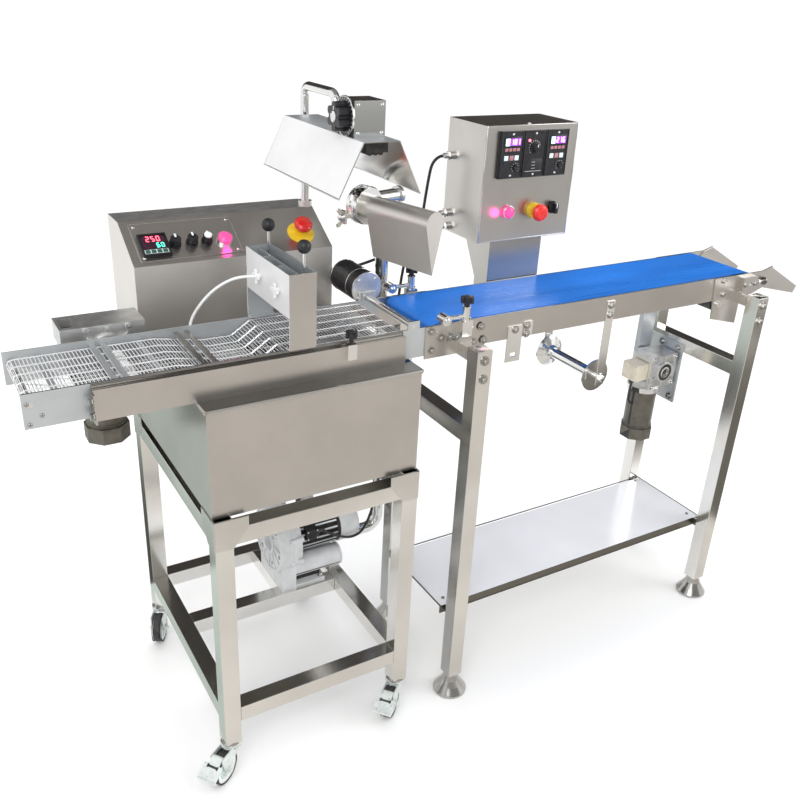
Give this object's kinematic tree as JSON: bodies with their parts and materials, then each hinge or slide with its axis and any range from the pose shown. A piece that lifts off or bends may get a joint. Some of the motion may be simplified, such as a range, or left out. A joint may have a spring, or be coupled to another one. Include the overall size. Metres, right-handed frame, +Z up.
{
  "type": "chocolate enrober",
  "caption": "Chocolate enrober on casters with a wire mesh bed, curtain box, heat lamp and air knife, docked to a belt conveyor with its own speed control box.",
  "frame": {"origin": "on the floor, in the middle of the underside of the conveyor levelling foot at the front left", "axes": "+X runs with the belts from the mesh infeed to the chute, +Y points to the back of the machine, +Z is up"},
  "size_m": [2.009, 0.6339, 1.423],
  "materials": {
    "brushed steel": "brushed stainless sheet and tube",
    "bright steel": "polished stainless fittings",
    "zinc steel": "zinc plated pressed steel",
    "blower casting": "cast aluminium, light grey",
    "gear casting": "cast aluminium gearboxes with dark motors",
    "white plastic": "white plastic",
    "black plastic": "black plastic",
    "red plastic": "red plastic button head",
    "lit plastic": "lit magenta lens",
    "blue belt": "blue coated conveyor belt",
    "black rubber": "black cable sheath",
    "wheel rubber": "grey caster wheel with a dark tyre",
    "wire mesh": "stainless wire"
  },
  "bodies": {
    "base": {"enrober_legs": "brushed steel", "enrober_rails": "brushed steel", "frame_plates": "bright steel", "tank": "brushed steel", "bed_trough": "brushed steel", "bed_frame": "bright steel", "mesh_belt": "wire mesh", "curtain_box": "bright steel", "chocolate_feed": "brushed steel", "control_cabinet": "brushed steel", "instrument_panel": "brushed steel", "blower": "blower casting", "air_pipe": "bright steel", "bed_gearmotors": "gear casting", "conveyor_legs": "brushed steel", "levelling_feet": "bright steel", "conveyor_rails": "brushed steel", "conveyor_belt": "blue belt", "shelf": "brushed steel", "end_plates": "bright steel", "conveyor_gearmotor": "gear casting", "rail_fittings": "bright steel", "speed_box": "brushed steel", "speed_modules": "black plastic", "white_hose": "white plastic", "upper_cable": "black rubber", "lower_cable": "black rubber"},
    "guide_knob_front": {"guide_knob_front": "black plastic"},
    "guide_knob_back": {"guide_knob_back": "black plastic"},
    "caster_fork_1": {"caster_fork_1": "zinc steel"},
    "caster_fork_2": {"caster_fork_2": "zinc steel"},
    "caster_fork_3": {"caster_fork_3": "zinc steel"},
    "caster_fork_4": {"caster_fork_4": "zinc steel"},
    "caster_wheel_1": {"caster_wheel_1": "wheel rubber"},
    "caster_wheel_2": {"caster_wheel_2": "wheel rubber"},
    "caster_wheel_3": {"caster_wheel_3": "wheel rubber"},
    "caster_wheel_4": {"caster_wheel_4": "wheel rubber"},
    "brake_pedal_1": {"brake_pedal_1": "zinc steel"},
    "brake_pedal_2": {"brake_pedal_2": "zinc steel"},
    "mesh_drive_shaft": {"mesh_drive_shaft": "bright steel"},
    "mesh_nose_roller": {"mesh_nose_roller": "bright steel"},
    "detailing_roller": {"detailing_roller": "bright steel"},
    "conveyor_drive_roller": {"conveyor_drive_roller": "black plastic"},
    "conveyor_tip_roller": {"conveyor_tip_roller": "bright steel"},
    "conveyor_tail_roller": {"conveyor_tail_roller": "bright steel"},
    "paper_spindle": {"paper_spindle": "bright steel"},
    "lamp_dial": {"lamp_dial": "black plastic"},
    "heat_knob": {"heat_knob": "black plastic"},
    "pump_knob": {"pump_knob": "black plastic"},
    "air_knob": {"air_knob": "black plastic"},
    "lit_button": {"lit_button": "lit plastic"},
    "cabinet_stop": {"cabinet_stop": "red plastic"},
    "box_stop": {"box_stop": "red plastic"},
    "box_selector": {"box_selector": "black plastic"},
    "gate_rod_front": {"gate_rod_front": "black plastic"},
    "gate_rod_back": {"gate_rod_back": "black plastic"},
    "bed_star_knob": {"bed_star_knob": "black plastic"},
    "air_knife": {"air_knife": "brushed steel"},
    "lamp": {"lamp_arm": "bright steel", "lamp_hood": "bright steel"}
  },
  "joints": [
    {"name": "caster_swivel_1", "type": "hinge", "parent": "base", "child": "caster_fork_1", "pos_m": [-0.576, 0.019, 0.084], "axis": [0, 0, 1], "continuous": true},
    {"name": "caster_roll_1", "type": "hinge", "parent": "caster_fork_1", "child": "caster_wheel_1", "pos_m": [-0.60467, -0.00108, 0.0375], "axis": [0.5736, -0.8192, 0], "continuous": true},
    {"name": "brake_press_1", "type": "hinge", "parent": "caster_fork_1", "child": "brake_pedal_1", "pos_m": [-0.61696, -0.00968, 0.078], "axis": [0.5736, -0.8192, 0], "range_deg": [0, 12]},
    {"name": "caster_swivel_2", "type": "hinge", "parent": "base", "child": "caster_fork_2", "pos_m": [-0.154, 0.019, 0.084], "axis": [0, 0, 1], "continuous": true},
    {"name": "caster_roll_2", "type": "hinge", "parent": "caster_fork_2", "child": "caster_wheel_2", "pos_m": [-0.18041, -0.00396, 0.0375], "axis": [0.6561, -0.7547, 0], "continuous": true},
    {"name": "brake_press_2", "type": "hinge", "parent": "caster_fork_2", "child": "brake_pedal_2", "pos_m": [-0.19173, -0.0138, 0.078], "axis": [0.6561, -0.7547, 0], "range_deg": [0, 12]},
    {"name": "caster_swivel_3", "type": "hinge", "parent": "base", "child": "caster_fork_3", "pos_m": [-0.576, 0.546, 0.084], "axis": [0, 0, 1], "continuous": true},
    {"name": "caster_roll_3", "type": "hinge", "parent": "caster_fork_3", "child": "caster_wheel_3", "pos_m": [-0.59297, 0.51539, 0.0375], "axis": [0.8746, -0.4848, 0], "continuous": true},
    {"name": "caster_swivel_4", "type": "hinge", "parent": "base", "child": "caster_fork_4", "pos_m": [-0.154, 0.546, 0.084], "axis": [0, 0, 1], "continuous": true},
    {"name": "caster_roll_4", "type": "hinge", "parent": "caster_fork_4", "child": "caster_wheel_4", "pos_m": [-0.17555, 0.51842, 0.0375], "axis": [0.788, -0.6157, 0], "continuous": true},
    {"name": "mesh_drive", "type": "hinge", "parent": "base", "child": "mesh_drive_shaft", "pos_m": [-0.695, 0.17, 0.9455], "axis": [0, 1, 0], "continuous": true},
    {"name": "mesh_nose_turn", "type": "hinge", "parent": "base", "child": "mesh_nose_roller", "pos_m": [-0.878, 0.17, 0.95402], "axis": [0, 1, 0], "continuous": true},
    {"name": "detailing_turn", "type": "hinge", "parent": "base", "child": "detailing_roller", "pos_m": [-0.129, 0.17, 0.982], "axis": [0, 1, 0], "continuous": true},
    {"name": "belt_tail_turn", "type": "hinge", "parent": "base", "child": "conveyor_tail_roller", "pos_m": [0.895, 0.163, 0.952], "axis": [0, 1, 0], "continuous": true},
    {"name": "belt_tip_turn", "type": "hinge", "parent": "base", "child": "conveyor_tip_roller", "pos_m": [-0.069, 0.163, 0.964], "axis": [0, 1, 0], "continuous": true},
    {"name": "belt_drive", "type": "hinge", "parent": "base", "child": "conveyor_drive_roller", "pos_m": [0.8, 0.163, 0.905], "axis": [0, 1, 0], "continuous": true},
    {"name": "spindle_turn", "type": "hinge", "parent": "base", "child": "paper_spindle", "pos_m": [0.42, 0.163, 0.765], "axis": [0, 1, 0], "continuous": true},
    {"name": "guide_front_turn", "type": "hinge", "parent": "base", "child": "guide_knob_front", "pos_m": [-0.008, 0.05, 1.015], "axis": [0, 0, 1], "range_deg": [-180, 180]},
    {"name": "guide_back_turn", "type": "hinge", "parent": "base", "child": "guide_knob_back", "pos_m": [-0.008, 0.276, 1.015], "axis": [0, 0, 1], "range_deg": [-180, 180]},
    {"name": "bed_knob_turn", "type": "hinge", "parent": "base", "child": "bed_star_knob", "pos_m": [-0.284, 0.044, 0.976], "axis": [0, 0, 1], "range_deg": [-180, 180]},
    {"name": "lamp_swivel", "type": "hinge", "parent": "base", "child": "lamp", "pos_m": [-0.172, 0.502, 1.14], "axis": [0, 0, 1], "range_deg": [-75, 30]},
    {"name": "lamp_dial_turn", "type": "hinge", "parent": "lamp", "child": "lamp_dial", "pos_m": [-0.2323, 0.191, 1.385], "axis": [-1, 0, 0], "range_deg": [-270, 0]},
    {"name": "heat_knob_turn", "type": "hinge", "parent": "base", "child": "heat_knob", "pos_m": [-0.511, 0.42142, 1.09784], "axis": [0, -0.5293, 0.8484], "range_deg": [-135, 135]},
    {"name": "pump_knob_turn", "type": "hinge", "parent": "base", "child": "pump_knob", "pos_m": [-0.474, 0.42142, 1.09784], "axis": [0, -0.5293, 0.8484], "range_deg": [-135, 135]},
    {"name": "air_knob_turn", "type": "hinge", "parent": "base", "child": "air_knob", "pos_m": [-0.441, 0.42142, 1.09784], "axis": [0, -0.5293, 0.8484], "range_deg": [-135, 135]},
    {"name": "lit_button_press", "type": "slide", "parent": "base", "child": "lit_button", "axis": [0, 0.5293, -0.8484], "range_m": [0, 0.003], "stiffness_N_per_m": 600},
    {"name": "cabinet_stop_press", "type": "slide", "parent": "base", "child": "cabinet_stop", "axis": [0, 0.5293, -0.8484], "range_m": [0, 0.004], "stiffness_N_per_m": 900},
    {"name": "box_stop_press", "type": "slide", "parent": "base", "child": "box_stop", "axis": [0, 1, 0], "range_m": [0, 0.004], "stiffness_N_per_m": 900},
    {"name": "selector_turn", "type": "hinge", "parent": "base", "child": "box_selector", "pos_m": [0.374, 0.264, 1.147], "axis": [0, -1, 0], "range_deg": [-45, 45]},
    {"name": "gate_front_lift", "type": "slide", "parent": "base", "child": "gate_rod_front", "axis": [0, 0, 1], "range_m": [0, 0.025]},
    {"name": "gate_back_lift", "type": "slide", "parent": "base", "child": "gate_rod_back", "axis": [0, 0, 1], "range_m": [0, 0.025]},
    {"name": "air_knife_tilt", "type": "hinge", "parent": "base", "child": "air_knife", "pos_m": [-0.081, 0.08, 1.187], "axis": [-0.2588, 0.9659, 0], "range_deg": [-30, 30]}
  ],
  "couplings": [
    {"joint": "mesh_nose_turn", "follows": "mesh_drive", "ratio": 2.2857},
    {"joint": "belt_tip_turn", "follows": "belt_tail_turn", "ratio": 2},
    {"joint": "belt_drive", "follows": "belt_tail_turn", "ratio": -1.2}
  ]
}
